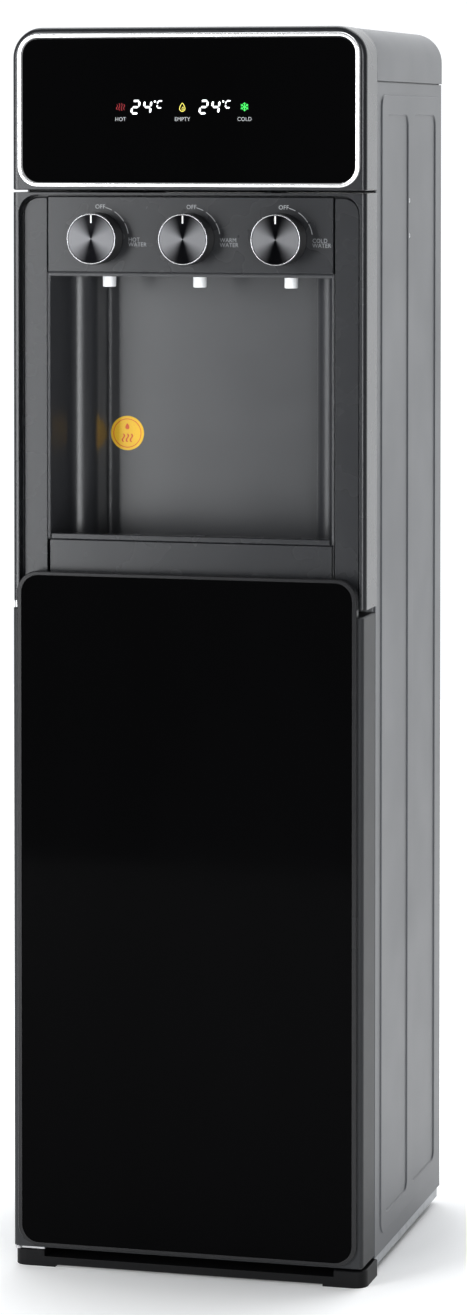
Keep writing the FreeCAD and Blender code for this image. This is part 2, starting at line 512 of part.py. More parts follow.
SW_X = (-125.5, -104.5)         # the two rocker centres
sw = fuse(prism(rr(-139, -91, 696, 764, 2.5), "xz", Y_REAR - 2.5, Y_REAR), box(-135, -95, 132, 157, 700, 760))
sw = fuse(box(-135.0, -95.0, 132, Y_REAR, 700, 760))
sw = cut(sw, *[box(x - 8, x + 8, 138, 170, 709, 751) for x in SW_X])
sw = cut(sw, *[cyl(1.55, (x - 9.5, 147.0, 730), (1, 0, 0), 19) for x in SW_X])
save("switch_housing", sw)


def rocker(x):
    """Rocker with two flat faces meeting over its pivot; tilted at rest so that the upper half is pressed in."""
    s = prism([(139.8, 730), (147.0, 712.2), (153.4, 711.0), (156.6, 730), (153.4, 749.0), (147.0, 747.8)], "yz", x - 7.5, x + 7.5)
    s = s.fuse(cyl(1.5, (x - 9.3, 147.0, 730), (1, 0, 0), 18.6)).removeSplitter()
    s.rotate(V(x, 147.0, 730), V(1, 0, 0), 7)
    return s


save("hot_switch_rocker", rocker(SW_X[0]))
save("cold_switch_rocker", rocker(SW_X[1]))

gland = fuse(cyl(13, (-60, 157.0, 604), (0, 1, 0), 1.0), cyl(8.0, (-60, 145, 604), (0, 1, 0), 12.5), cyl(11, (-60, 150, 604), (0, 1, 0), 5.5))
gland = cut(gland, cyl(4.0, (-60, 140, 604), (0, 1, 0), 30))
save("cord_gland", gland)

# ---------------------------------------------------------------- door and its hardware
door = prism([(-DOOR_W, DOOR_Z0), (DOOR_W, DOOR_Z0), (DOOR_W, DOOR_Z1), (-DOOR_W, DOOR_Z1)], "xz", DOOR_Y, DOOR_BACK)
door = fil(door, 4.5, lambda e: at_y(e, DOOR_Y) and e.BoundBox.XLength < 1)
door = cham(door, 1.2, lambda e: at_y(e, DOOR_Y) and e.BoundBox.ZLength < 1e-3)
door = cut(door, box(-DOOR_W + 2.6, DOOR_W - 2.6, -144.8, -90, DOOR_Z0 + 2.6, DOOR_Z1 - 2.6))
tongue = prism(rr(-148.8, 148.8, 548, TONGUE_Z - 0.1, 17.9, 0), "xz", DOOR_Y, -143.8)
door = door.fuse(tongue)
for z0, z1 in ((DOOR_Z0, 44), (541, DOOR_Z1)):
    door = door.fuse(box(-DOOR_W, -142, -146, -133, z0 + 0.4, z1 - 0.4).common(prism([(-DOOR_W, -148, 4.5), (100, -148), (100, -100), (-DOOR_W, -100)], "xy", z0, z1)))
for z in (150, 290, 430):
    door = door.fuse(box(-151.5, 151.5, -145.5, -134, z - 1, z + 1))
door = door.fuse(box(140, 151.5, -112, -107.0, 284, 316))
door = door.removeSplitter()
door = cut(door, cyl(PIN_BORE_R, (HINGE_X, HINGE_Y, DOOR_Z0 - 1), (0, 0, 1), 20), cyl(PIN_BORE_R, (HINGE_X, HINGE_Y, DOOR_Z1 - 19), (0, 0, 1), 20))
save("door_casing", door)

trim = prism(rr(-148.9, 148.9, 19.6, TONGUE_Z, 18), "xz", -151.0, DOOR_Y)
trim = cham(trim, 0.7, lambda e: at_y(e, -151.0))
trim = cut(trim, prism(rr(-145.1, 145.1, 22.5, 596.1, 15.1), "xz", -160, -140))
save("door_trim", trim)
dg = prism(rr(-145.0, 145.0, 22.6, 596.0, 15), "xz", -150.4, DOOR_Y)
dg = cham(dg, 0.4, lambda e: at_y(e, -150.4))
save("door_glass", dg)
save("door_strike_plate", cham(box(140.5, 150.5, -107.0, -104.6, 285, 315), 0.4, lambda e: at_y(e, -104.6)))
catch = fuse(box(138, 152, -102.4, -86, 280, 320), box(150, 152, -102.4, -70, 276, 324))
catch = cut(catch, box(140, 150, -103, -102.0, 283, 287), box(140, 150, -103, -102.0, 313, 317))
save("magnet_catch", catch)

lo = box(-154.2, -128, HINGE_Y + 0.6, -108, 14.5, 16.4).fuse(cyl(2.7, (HINGE_X, HINGE_Y, 14.5), (0, 0, 1), 1.9))
lo = lo.fuse(cyl(PIN_R, (HINGE_X, HINGE_Y, 15), (0, 0, 1), 17)).removeSplitter()
save("lower_hinge_bracket", lo)
up = box(-154.2, -140, HINGE_Y + 0.6, -108, 570.6, 573.0).fuse(cyl(2.6, (HINGE_X, HINGE_Y, 570.6), (0, 0, 1), 2.4))
up = up.fuse(cyl(PIN_R, (HINGE_X, HINGE_Y, 552), (0, 0, 1), 20)).removeSplitter()
save("upper_hinge_bracket", up)
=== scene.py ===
import json
import math
import bmesh
import bpy
from mathutils import Matrix, Vector

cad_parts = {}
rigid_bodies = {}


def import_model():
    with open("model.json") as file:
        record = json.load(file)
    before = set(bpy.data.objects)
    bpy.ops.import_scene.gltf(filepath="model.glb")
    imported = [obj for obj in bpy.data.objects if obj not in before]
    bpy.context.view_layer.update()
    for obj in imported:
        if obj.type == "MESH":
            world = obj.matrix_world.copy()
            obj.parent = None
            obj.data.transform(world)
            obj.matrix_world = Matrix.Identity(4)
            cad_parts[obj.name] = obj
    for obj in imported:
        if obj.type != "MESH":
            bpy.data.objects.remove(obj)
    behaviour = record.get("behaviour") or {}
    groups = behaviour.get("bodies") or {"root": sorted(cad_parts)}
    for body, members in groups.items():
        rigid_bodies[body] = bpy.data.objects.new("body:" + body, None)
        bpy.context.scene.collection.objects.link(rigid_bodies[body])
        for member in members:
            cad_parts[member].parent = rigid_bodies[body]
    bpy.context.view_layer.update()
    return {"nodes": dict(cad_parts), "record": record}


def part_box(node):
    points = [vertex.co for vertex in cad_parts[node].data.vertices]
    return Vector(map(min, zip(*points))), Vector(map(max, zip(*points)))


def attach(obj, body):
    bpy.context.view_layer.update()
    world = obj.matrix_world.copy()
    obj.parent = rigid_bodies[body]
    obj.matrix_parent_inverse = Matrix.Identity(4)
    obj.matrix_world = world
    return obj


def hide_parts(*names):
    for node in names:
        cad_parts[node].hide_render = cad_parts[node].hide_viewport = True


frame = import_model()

NODES = frame["nodes"]
MM = 0.001

# ------------------------------------------------------------------ camera
AZ, PITCH = math.radians(14.95), math.radians(2.0)
cam_data = bpy.data.cameras.new("view_camera")
cam = bpy.data.objects.new("view_camera", cam_data)
bpy.context.scene.collection.objects.link(cam)
cam.location = (0.955248, -3.569408, 0.970876)
look = Vector((-math.sin(AZ) * math.cos(PITCH), math.cos(AZ) * math.cos(PITCH), -math.sin(PITCH)))
cam.rotation_mode = "QUATERNION"
cam.rotation_quaternion = look.to_track_quat("-Z", "Y")
cam_data.sensor_width = 36.0
cam_data.lens = 4217.488 / 1315 * 36.0
cam_data.shift_y = -(657.5 - 282.108) / 1315
cam_data.clip_start, cam_data.clip_end = 0.05, 60
bpy.context.scene.camera = cam


# ------------------------------------------------------------------ materials
class Nodes:
    """Small helper that builds a node material."""

    def __init__(self, name):
        self.mat = bpy.data.materials.new(name)
        self.mat.use_nodes = True
        self.t = self.mat.node_tree
        self.t.nodes.clear()
        self.out = self.t.nodes.new("ShaderNodeOutputMaterial")
        self.bsdf = self.t.nodes.new("ShaderNodeBsdfPrincipled")
        self.t.links.new(self.bsdf.outputs[0], self.out.inputs[0])
        self.coord = self.t.nodes.new("ShaderNodeTexCoord").outputs["Object"]

    def add(self, kind, **props):
        n = self.t.nodes.new(kind)
        for k, v in props.items():
            setattr(n, k, v)
        return n

    def link(self, a, b):
        self.t.links.new(a, b)

    def mapped(self, scale=(1, 1, 1), loc=(0, 0, 0), rot=(0, 0, 0)):
        m = self.add("ShaderNodeMapping")
        self.link(self.coord, m.inputs["Vector"])
        m.inputs["Scale"].default_value = scale
        m.inputs["Location"].default_value = loc
        m.inputs["Rotation"].default_value = rot
        return m.outputs[0]

    def noise(self, scale, detail=2.0, rough=0.5, vec=None):
        n = self.add("ShaderNodeTexNoise")
        n.inputs["Scale"].default_value = scale
        n.inputs["Detail"].default_value = detail
        n.inputs["Roughness"].default_value = rough
        self.link(vec or self.coord, n.inputs["Vector"])
        return n.outputs["Fac"]

    def voronoi(self, scale, feature="F1", vec=None):
        n = self.add("ShaderNodeTexVoronoi", feature=feature)
        n.inputs["Scale"].default_value = scale
        self.link(vec or self.coord, n.inputs["Vector"])
        return n.outputs["Distance"]

    def span(self, v, lo, hi, a=0.0, b=1.0):
        n = self.add("ShaderNodeMapRange")
        self.link(v, n.inputs["Value"])
        for k, x in (("From Min", a), ("From Max", b), ("To Min", lo), ("To Max", hi)):
            n.inputs[k].default_value = x
        return n.outputs[0]

    def math(self, op, a, b):
        n = self.add("ShaderNodeMath", operation=op)
        for i, x in enumerate((a, b)):
            if isinstance(x, (int, float)):
                n.inputs[i].default_value = x
            else:
                self.link(x, n.inputs[i])
        return n.outputs[0]

    def ramp(self, v, stops):
        n = self.add("ShaderNodeValToRGB")
        e = n.color_ramp.elements
        while len(e) > len(stops):
            e.remove(e[-1])
        while len(e) < len(stops):
            e.new(1.0)
        for el, (p, c) in zip(e, stops):
            el.position, el.color = p, (*c, 1) if len(c) == 3 else c
        self.link(v, n.inputs["Fac"])
        return n.outputs["Color"]

    def mix(self, fac, a, b):
        n = self.add("ShaderNodeMix", data_type="RGBA")
        if isinstance(fac, (int, float)):
            n.inputs[0].default_value = fac
        else:
            self.link(fac, n.inputs[0])
        for sock, x in ((n.inputs[6], a), (n.inputs[7], b)):
            if isinstance(x, tuple):
                sock.default_value = (*x, 1) if len(x) == 3 else x
            else:
                self.link(x, sock)
        return n.outputs[2]

    def bump(self, height, strength, dist, under=None):
        n = self.add("ShaderNodeBump")
        n.inputs["Strength"].default_value = strength
        n.inputs["Distance"].default_value = dist
        self.link(height, n.inputs["Height"])
        if under is not None:
            self.link(under, n.inputs["Normal"])
        return n.outputs[0]

    def soft_edge(self, radius):
        n = self.add("ShaderNodeBevel", samples=6)
        n.inputs["Radius"].default_value = radius
        return n.outputs[0]

    def set(self, **kw):
        for k, v in kw.items():
            s = self.bsdf.inputs[k.replace("_", " ")]
            if isinstance(v, (int, float)):
                s.default_value = v
            elif isinstance(v, tuple):
                s.default_value = (*v, 1) if len(v) == 3 else v
            else:
                self.link(v, s)
        return self


def satin(name, col, rough=0.42, grain=0.16, edge=0.0006, spec=0.5, vary=0.07, metallic=0.0):
    """Satin moulded plastic or paint: fine spark-eroded grain, slow colour drift, uneven gloss."""
    m = Nodes(name)
    slow = m.noise(7.0, 3.0, 0.55)
    fine = m.noise(1500.0, 3.0, 0.6)
    cell = m.voronoi(900.0)
    lo = tuple(c * (1 - vary) for c in col)
    hi = tuple(c * (1 + vary) for c in col)
    base = m.ramp(slow, [(0.3, lo), (0.7, hi)])
    speck = m.span(fine, 0.0, 1.0, 0.62, 0.78)
    base = m.mix(m.math("MULTIPLY", speck, 0.05), base, tuple(min(1.0, c * 1.7 + 0.01) for c in col))
    m.link(base, m.bsdf.inputs["Base Color"])
    m.link(m.span(m.noise(30.0, 2.0, 0.5), rough - 0.012, rough + 0.015, 0.25, 0.75), m.bsdf.inputs["Roughness"])
    n = m.bump(m.math("ADD", fine, m.math("MULTIPLY", cell, 0.6)), grain, 0.00006, m.soft_edge(edge) if edge else None)
    m.link(n, m.bsdf.inputs["Normal"])
    m.set(Specular_IOR_Level=spec, Metallic=metallic)
    return m.mat


def paint(name, col):
    """Baked satin paint on sheet: very slight orange peel over a fine fleck."""
    m = Nodes(name)
    slow = m.noise(5.0, 2.0, 0.5)
    peel = m.noise(260.0, 2.0, 0.45)
    fine = m.noise(1400.0, 1.0, 0.5)
    base = m.ramp(slow, [(0.3, tuple(c * 0.93 for c in col)), (0.7, tuple(c * 1.07 for c in col))])
    base = m.mix(m.math("MULTIPLY", m.span(fine, 0.0, 1.0, 0.58, 0.75), 0.04), base, tuple(min(1, c * 1.3) for c in col))
    m.link(base, m.bsdf.inputs["Base Color"])
    m.link(m.span(m.noise(9.0, 2.0, 0.5), 0.38, 0.44, 0.3, 0.7), m.bsdf.inputs["Roughness"])
    n = m.bump(peel, 0.05, 0.00003, m.soft_edge(0.0008))
    m.link(n, m.bsdf.inputs["Normal"])
    m.set(Specular_IOR_Level=0.5)
    return m.mat


def black_glass(name):
    """Back-painted glass: deep black with faint wipe marks in its gloss."""
    m = Nodes(name)
    smear = m.noise(3.5, 5.0, 0.6, m.mapped((1.0, 1.0, 0.35)))
    dust = m.noise(900.0, 2.0, 0.5)
    base = m.ramp(smear, [(0.3, (0.0014, 0.0014, 0.0015)), (0.8, (0.0021, 0.0021, 0.0023))])
    base = m.mix(m.math("MULTIPLY", m.span(dust, 0.0, 1.0, 0.74, 0.82), 0.03), base, (0.02, 0.02, 0.02))
    m.link(base, m.bsdf.inputs["Base Color"])
    m.link(m.span(smear, 0.05, 0.085, 0.35, 0.75), m.bsdf.inputs["Roughness"])
    m.set(Specular_IOR_Level=0.010)
    return m.mat


def chrome(name, col=(0.93, 0.93, 0.94), rough=0.20, painted_glow=0.0):
    m = Nodes(name)
    v = m.noise(60.0, 3.0, 0.5)
    m.link(m.ramp(v, [(0.3, tuple(c * 0.97 for c in col)), (0.7, col)]), m.bsdf.inputs["Base Color"])
    m.link(m.span(m.noise(40.0, 2.0, 0.5), rough - 0.01, rough + 0.01, 0.3, 0.7), m.bsdf.inputs["Roughness"])
    # emission paints a flat glow onto the metal as a painted highlight; none by default
    m.set(Metallic=1.0, Emission_Color=(0.9, 0.9, 0.92), Emission_Strength=painted_glow)
    return m.mat


def brushed(name, col, rough=0.35, scale=(1, 1, 60), grain=0.2):
    """Metal with fine lines along the unscaled direction."""
    m = Nodes(name)
    lines = m.noise(90.0, 4.0, 0.65, m.mapped(scale))
    blot = m.noise(14.0, 3.0, 0.5)
    base = m.ramp(blot, [(0.3, tuple(c * 0.9 for c in col)), (0.7, tuple(min(1, c * 1.06) for c in col))])
    m.link(base, m.bsdf.inputs["Base Color"])
    m.link(m.span(lines, rough - 0.08, rough + 0.1, 0.3, 0.7), m.bsdf.inputs["Roughness"])
    m.link(m.bump(lines, grain, 0.00006), m.bsdf.inputs["Normal"])
    m.set(Metallic=1.0)
    return m.mat


def galvanised(name):
    """Zinc-coated sheet with faint spangle."""
    m = Nodes(name)
    sp = m.voronoi(120.0)
    fine = m.noise(700.0, 3.0, 0.6)
    base = m.ramp(sp, [(0.1, (0.30, 0.31, 0.32)), (0.5, (0.40, 0.41, 0.425)), (0.9, (0.35, 0.36, 0.37))])
    m.link(base, m.bsdf.inputs["Base Color"])
    m.link(m.span(sp, 0.34, 0.5, 0.1, 0.8), m.bsdf.inputs["Roughness"])
    m.link(m.bump(fine, 0.15, 0.00006, m.soft_edge(0.0005)), m.bsdf.inputs["Normal"])
    m.set(Metallic=0.85)
    return m.mat


def foam(name, col):
    m = Nodes(name)
    cells = m.voronoi(700.0)
    blot = m.noise(22.0, 4.0, 0.6)
    m.link(m.ramp(blot, [(0.3, tuple(c * 0.88 for c in col)), (0.7, col)]), m.bsdf.inputs["Base Color"])
    m.link(m.span(cells, 0.75, 0.95), m.bsdf.inputs["Roughness"])
    m.link(m.bump(cells, 0.5, 0.0004), m.bsdf.inputs["Normal"])
    return m.mat


def rubber(name, col, rough=0.75):
    m = Nodes(name)
    n1 = m.noise(600.0, 4.0, 0.6)
    m.link(m.ramp(m.noise(30.0, 3.0), [(0.3, tuple(c * 0.85 for c in col)), (0.7, tuple(min(1, c * 1.15) for c in col))]), m.bsdf.inputs["Base Color"])
    m.link(m.span(n1, rough - 0.1, rough + 0.1, 0.3, 0.7), m.bsdf.inputs["Roughness"])
    m.link(m.bump(n1, 0.3, 0.00015), m.bsdf.inputs["Normal"])
    return m.mat


def circuit(name):
    """Green lacquered board with faint copper tracks."""
    m = Nodes(name)
    tr = m.add("ShaderNodeTexBrick")
    m.link(m.mapped((1, 1, 1), rot=(math.pi / 2, 0, 0)), tr.inputs["Vector"])
    tr.inputs["Scale"].default_value = 160.0
    tr.inputs["Mortar Size"].default_value = 0.05
    tr.inputs["Color1"].default_value = (0.012, 0.10, 0.035, 1)
    tr.inputs["Color2"].default_value = (0.014, 0.12, 0.045, 1)
    tr.inputs["Mortar"].default_value = (0.05, 0.20, 0.07, 1)
    m.link(tr.outputs["Color"], m.bsdf.inputs["Base Color"])
    m.link(m.span(m.noise(200.0), 0.22, 0.34), m.bsdf.inputs["Roughness"])
    m.link(m.bump(tr.outputs["Fac"], 0.2, 0.0001), m.bsdf.inputs["Normal"])
    return m.mat


MATS = {
    "front": satin("charcoal_satin_plastic", (0.016, 0.0168, 0.019), rough=0.27, grain=0.02),
    "liner": satin("charcoal_niche_plastic", (0.026, 0.027, 0.030), rough=0.30, grain=0.06, edge=0.0045, spec=0.70),
    "door": satin("charcoal_door_plastic", (0.026, 0.027, 0.029), rough=0.44, spec=0.15, grain=0.08),
    "base": satin("black_base_plastic", (0.004, 0.004, 0.0045), rough=0.46, spec=0.13, grain=0.10),
    "knob": satin("black_knob_plastic", (0.012, 0.012, 0.013), rough=0.30, grain=0.15, edge=0.0003),
    "tap": satin("black_nylon", (0.022, 0.022, 0.024), rough=0.48, edge=0),
    "case": paint("grey_case_paint", (0.078, 0.082, 0.090)),
    "zinc": galvanised("zinc_sheet"),
    "glass": black_glass("black_panel_glass"),
    "chrome": chrome("bright_chrome"),
    # the bead and knob-rim chrome glow by emission: a painted highlight, not a lamp
    "bead": chrome("bead_chrome_painted_glow", (0.95, 0.95, 0.96), 0.26, 0.30),
    "knob_rim": chrome("knob_rim_chrome_painted_glow", (0.62, 0.62, 0.64), 0.26, 0.02),
    "rim": satin("dark_rim", (0.014, 0.014, 0.015), rough=0.26, grain=0.04, edge=0.0004, spec=0.24),
    "white": satin("white_plastic", (0.93, 0.94, 0.95), rough=0.34, grain=0.12, edge=0.0004, vary=0.02),
    "acetal": satin("natural_acetal", (0.70, 0.69, 0.65), rough=0.4, grain=0.1, edge=0, vary=0.03),
    "rubber": rubber("foot_rubber", (0.018, 0.018, 0.018)),
    "steel": brushed("plated_steel", (0.55, 0.55, 0.56), 0.32),
    "tank": brushed("stainless_tank", (0.62, 0.62, 0.63), 0.28, (1, 1, 40)),
    "alu": brushed("extruded_aluminium", (0.70, 0.70, 0.72), 0.34, (1, 1, 0.02)),
    "foam": foam("rigid_foam", (0.80, 0.77, 0.68)),
    "jacket": foam("black_tank_foam", (0.05, 0.05, 0.052)),
    "board": circuit("green_board"),
    "hose": rubber("silicone_hose", (0.62, 0.63, 0.63), 0.4),
    "red": satin("red_rocker", (0.55, 0.018, 0.012), rough=0.25, grain=0.05, edge=0.0005, vary=0.03),
    "green": satin("green_rocker", (0.015, 0.30, 0.06), rough=0.25, grain=0.05, edge=0.0005, vary=0.03),
}
SLOT_MAT = {
    "front_plastic": "front", "base_plastic": "base", "case_paint": "case", "galvanised": "zinc",
    "black_glass": "glass", "chrome_trim": "chrome", "door_trim": "rim", "foot_rubber": "rubber",
    "screw_steel": "steel", "circuit_board": "board", "tap_plastic": "tap", "spindle_plastic": "acetal",
    "knob_black": "knob", "knob_metal": "alu", "white_plastic": "white", "tank_steel": "tank",
    "insulation": "foam", "sink_aluminium": "alu", "hose_silicone": "hose", "grille_plastic": "front",
    "rocker_red": "red", "rocker_green": "green",
}


def give(obj, material):
    obj.data.materials.clear()
    obj.data.materials.append(material)


for part in frame["record"]["subparts"]:
    give(NODES[part["node"]], MATS[SLOT_MAT[part["material_slot"]]])
give(NODES["niche_liner"], MATS["liner"])
give(NODES["door_casing"], MATS["door"])
give(NODES["hot_tank_jacket"], MATS["jacket"])


# ------------------------------------------------------------------ mesh helpers
def piece(name, bm, material, body="cabinet", smooth=True, node=None):
    me = bpy.data.meshes.new(name)
    bmesh.ops.recalc_face_normals(bm, faces=bm.faces)
    bm.to_mesh(me)
    bm.free()
    o = bpy.data.objects.new(name, me)
    bpy.context.scene.collection.objects.link(o)
    me.materials.append(material)
    if smooth:
        me.shade_smooth()
        me.set_sharp_from_angle(angle=math.radians(35))
    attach(o, body)
    return o


def lathe(bm, profile, centre, seg=96, axis="y"):
    """Turns a profile of (radius, height) about a line through centre; height runs along the axis."""
    rings = []
    for r, h in profile:
        ring = []
        if r < 1e-7:
            p = Vector((0, h, 0)) if axis == "y" else Vector((0, 0, h))
            ring = [bm.verts.new(Vector(centre) + p)]
        else:
            for k in range(seg):
                a = 2 * math.pi * k / seg
                p = Vector((r * math.sin(a), h, r * math.cos(a))) if axis == "y" else Vector((r * math.cos(a), r * math.sin(a), h))
                ring.append(bm.verts.new(Vector(centre) + p))
        rings.append(ring)
    for a, b in zip(rings, rings[1:]):
        if len(a) == 1 and len(b) == 1:
            continue
        for k in range(seg):
            j = (k + 1) % seg
            if len(a) == 1:
                bm.faces.new((a[0], b[k], b[j]))
            elif len(b) == 1:
                bm.faces.new((a[k], a[j], b[0]))
            else:
                bm.faces.new((a[k], a[j], b[j], b[k]))
    return rings


def slab(bm, outline, y0, y1, bevel=0.0):
    """Closed slab of a convex or concave outline [(x, z)] between y0 (front) and y1; the front rim is bevelled."""
    n = len(outline)
    cx = sum(p[0] for p in outline) / n
    cz = sum(p[1] for p in outline) / n

    def ring(y, inset):
        vs = []
        for i, (x, z) in enumerate(outline):
            if inset:
                ax, az = outline[i - 1]
                bx, bz = outline[(i + 1) % n]
                d = Vector((bx - ax, bz - az))
                d = Vector((-d.y, d.x)).normalized() if d.length > 1e-9 else Vector((0, 0))
                x, z = x + d.x * inset * sgn, z + d.y * inset * sgn
            vs.append(bm.verts.new((x, y, z)))
        return vs
    area = sum(outline[i - 1][0] * outline[i][1] - outline[i][0] * outline[i - 1][1] for i in range(n))
    sgn = 1 if area > 0 else -1
    rings = [ring(y1, 0), ring(y0 + bevel, 0)] + ([ring(y0, bevel)] if bevel else [])
    for a, b in zip(rings, rings[1:]):
        for i in range(n):
            j = (i + 1) % n
            bm.faces.new((a[i], a[j], b[j], b[i]))
    bm.faces.new(rings[0])
    bm.faces.new(rings[-1])


def rounded(x0, x1, z0, z1, r, seg=6):
    pts = []
    for cx, cz, a0 in ((x1 - r, z1 - r, 0), (x0 + r, z1 - r, 90), (x0 + r, z0 + r, 180), (x1 - r, z0 + r, 270)):
        for k in range(seg + 1):
            a = math.radians(a0 + 90 * k / seg)
            pts.append((cx + r * math.cos(a), cz + r * math.sin(a)))
    return pts


def arc_strip(bm, cx, cz, r, width, a0, a1, y0, y1, seg=14):
    """Raised strip along a circular arc; angles are clockwise from the top, in degrees."""
    inner, outer = r - width / 2, r + width / 2
    pts = []
    for k in range(seg + 1):
        a = math.radians(a0 + (a1 - a0) * k / seg)
        pts.append((cx + outer * math.sin(a), cz + outer * math.cos(a)))
    for k in range(seg, -1, -1):
        a = math.radians(a0 + (a1 - a0) * k / seg)
        pts.append((cx + inner * math.sin(a), cz + inner * math.cos(a)))
    slab(bm, pts, y0, y1)


def ink(name, col, rough=0.5):
    m = Nodes(name)
    n = m.noise(900.0, 3.0, 0.6)
    m.link(m.ramp(n, [(0.3, tuple(c * 0.9 for c in col)), (0.7, col)]), m.bsdf.inputs["Base Color"])
    m.link(m.span(n, rough - 0.05, rough + 0.08, 0.3, 0.7), m.bsdf.inputs["Roughness"])
    return m.mat


def lit(name, col, power, dark=0.75):
    """Glowing segment behind glass, with a slightly uneven fill."""
    m = Nodes(name)
    n = m.noise(500.0, 2.0, 0.5)
    c = m.ramp(n, [(0.25, tuple(v * dark for v in col)), (0.75, col)])
    m.link(c, m.bsdf.inputs["Emission Color"])
    m.link(c, m.bsdf.inputs["Base Color"])
    m.link(m.span(n, 0.3, 0.5), m.bsdf.inputs["Roughness"])
    m.set(Emission_Strength=power)
    return m.mat


def words(name, text, x, z, y, size, material, body="cabinet", align="CENTER", squeeze=1.0, depth=0.00006):
    """Thin printed mark as a mesh on a plane that faces the front."""
    cu = bpy.data.curves.new(name + "_curve", "FONT")
    cu.body = text
    cu.size = size
    cu.align_x = align
    cu.space_character = 1.05
    cu.space_line = 0.82
    cu.resolution_u = 3
    cu.extrude = depth
    tmp = bpy.data.objects.new(name + "_curve", cu)
    me = bpy.data.meshes.new_from_object(tmp)
    bpy.data.objects.remove(tmp)
    bpy.data.curves.remove(cu)
    me.name = name
    me.transform(Matrix.Translation((x, y, z)) @ Matrix.Rotation(math.pi / 2, 4, "X") @ Matrix.Diagonal((squeeze, 1, 1, 1)))
    bm = bmesh.new()
    bm.from_mesh(me)
    bmesh.ops.remove_doubles(bm, verts=bm.verts, dist=1e-6)
    bpy.data.meshes.remove(me)
    return piece(name, bm, material, body, smooth=False)


# ------------------------------------------------------------------ display marks on the head glass
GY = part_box("display_glass")[0].y
LED_WHITE = lit("led_white", (0.95, 0.97, 1.0), 1.6)
LED_RED = lit("led_red", (0.50, 0.010, 0.025), 0.38, 0.5)
LED_YELLOW = lit("led_yellow", (0.80, 0.70, 0.10), 0.8)
LED_GREEN = lit("led_green", (0.04, 0.72, 0.10), 0.9)
PRINT = ink("grey_print", (0.42, 0.43, 0.44))
PRINT_DIM = ink("dim_grey_print", (0.26, 0.27, 0.28))
WHITE_INK = ink("white_ink", (0.88, 0.88, 0.88), 0.35)

SEGS = {"a": (0, 1, 1, 1), "g": (0, .5, 1, .5), "d": (0, 0, 1, 0), "f": (0, .5, 0, 1), "b": (1, .5, 1, 1), "e": (0, 0, 0, .5), "c": (1, 0, 1, .5)}


def segment_glyph(bm, x, z, w, h, t, code, slant=0.14):
    """Seven-segment glyph whose bars have pointed ends; x, z is its lower left corner."""
    for s in code:
        u0, v0, u1, v1 = SEGS[s]
        p, q = Vector((x + u0 * w, z + v0 * h)), Vector((x + u1 * w, z + v1 * h))
        d = (q - p).normalized()
        n = Vector((-d.y, d.x))
        p, q = p + d * t * 0.28, q - d * t * 0.28
        pts = [p, p + d * t * .5 + n * t * .5, q - d * t * .5 + n * t * .5, q, q - d * t * .5 - n * t * .5, p + d * t * .5 - n * t * .5]
        slab(bm, [(a.x + (a.y - z) * slant, a.y) for a in pts], GY - 0.00006, GY - 0.00001)


for tag, x0 in (("left", -0.0487), ("right", 0.0110)):
    bm = bmesh.new()
    segment_glyph(bm, x0, 0.9890, 0.0060, 0.0105, 0.0017, "abged")
    segment_glyph(bm, x0 + 0.0105, 0.9890, 0.0058, 0.0105, 0.0017, "fgbc")
    segment_glyph(bm, x0 + 0.0226, 0.9936, 0.0042, 0.0058, 0.0012, "afed")
    slab(bm, [(x0 + 0.0208 + 0.0009 * math.cos(a), 0.9990 + 0.0009 * math.sin(a)) for a in [k * math.pi / 6 for k in range(12)]], GY - 0.00006, GY - 0.00001)
    piece("display_digits_" + tag, bm, LED_WHITE, "cabinet", smooth=False)

bm = bmesh.new()
for k in range(4):                                   # four wavy heat bars
    cx = -0.0582 + (k - 1.5) * 0.0021
    hh = 0.0031 if k in (1, 2) else 0.0024
    left, right = [], []
    for i in range(13):
        v = -1 + 2 * i / 12
        wx = cx + 0.00042 * math.sin(v * math.pi * 1.15)
        left.append((wx - 0.00017, 0.9944 + v * hh))
        right.append((wx + 0.00017, 0.9944 + v * hh))
    slab(bm, left + right[::-1], GY - 0.00006, GY - 0.00001)
piece("display_heat_icon", bm, LED_RED, "cabinet", smooth=False)


def drop_outline(cx, cz, s, n=28):
    pts = []
    for k in range(n):
        a = 2 * math.pi * k / n
        r = 1.0
        x, z = math.sin(a) * r * (1 - 0.45 * max(0.0, math.cos(a)) ** 1.3), math.cos(a)
        if z > 0:
            z = z * 1.75
        pts.append((cx + s * x, cz + s * (z - 0.35)))
    return pts


def outline_band(bm, pts, width, y0, y1):
    """Closed band that follows an outline inwards."""
    n = len(pts)
    cx = sum(p[0] for p in pts) / n
    cz = sum(p[1] for p in pts) / n
    inner = []
    for x, z in pts:
        d = Vector((cx - x, cz - z))
        k = min(0.9, width / max(d.length, 1e-6))
        inner.append((x + d.x * k, z + d.y * k))
    for i in range(n):
        j = (i + 1) % n
        q = [pts[i], pts[j], inner[j], inner[i]]
        slab(bm, q, y0, y1)
    bmesh.ops.remove_doubles(bm, verts=bm.verts, dist=1e-7)


bm = bmesh.new()
outline_band(bm, drop_outline(-0.0039, 0.9940, 0.0027), 0.00055, GY - 0.00006, GY - 0.00001)
outline_band(bm, drop_outline(-0.0034, 0.9930, 0.0011, 18), 0.0004, GY - 0.00006, GY - 0.00001)
piece("display_drop_icon", bm, LED_YELLOW, "cabinet", smooth=False)

bm = bmesh.new()
for k in range(6):                                   # six-armed ice crystal
    a = math.radians(60 * k)
    d, n = Vector((math.sin(a), math.cos(a))), Vector((math.cos(a), -math.sin(a)))
    c = Vector((0.0503, 0.9944))

    def bar(p, q, t):
        e = (q - p).normalized()
        m_ = Vector((-e.y, e.x)) * t
        slab(bm, [tuple(p - m_), tuple(q - m_), tuple(q + m_), tuple(p + m_)], GY - 0.00006, GY - 0.00001)
    bar(c, c + d * 0.0037, 0.00030)
    for s in (-1, 1):
        b0 = c + d * 0.0019
        bar(b0, b0 + (d + n * s).normalized() * 0.0015, 0.00022)
piece("display_ice_icon", bm, LED_GREEN, "cabinet", smooth=False)

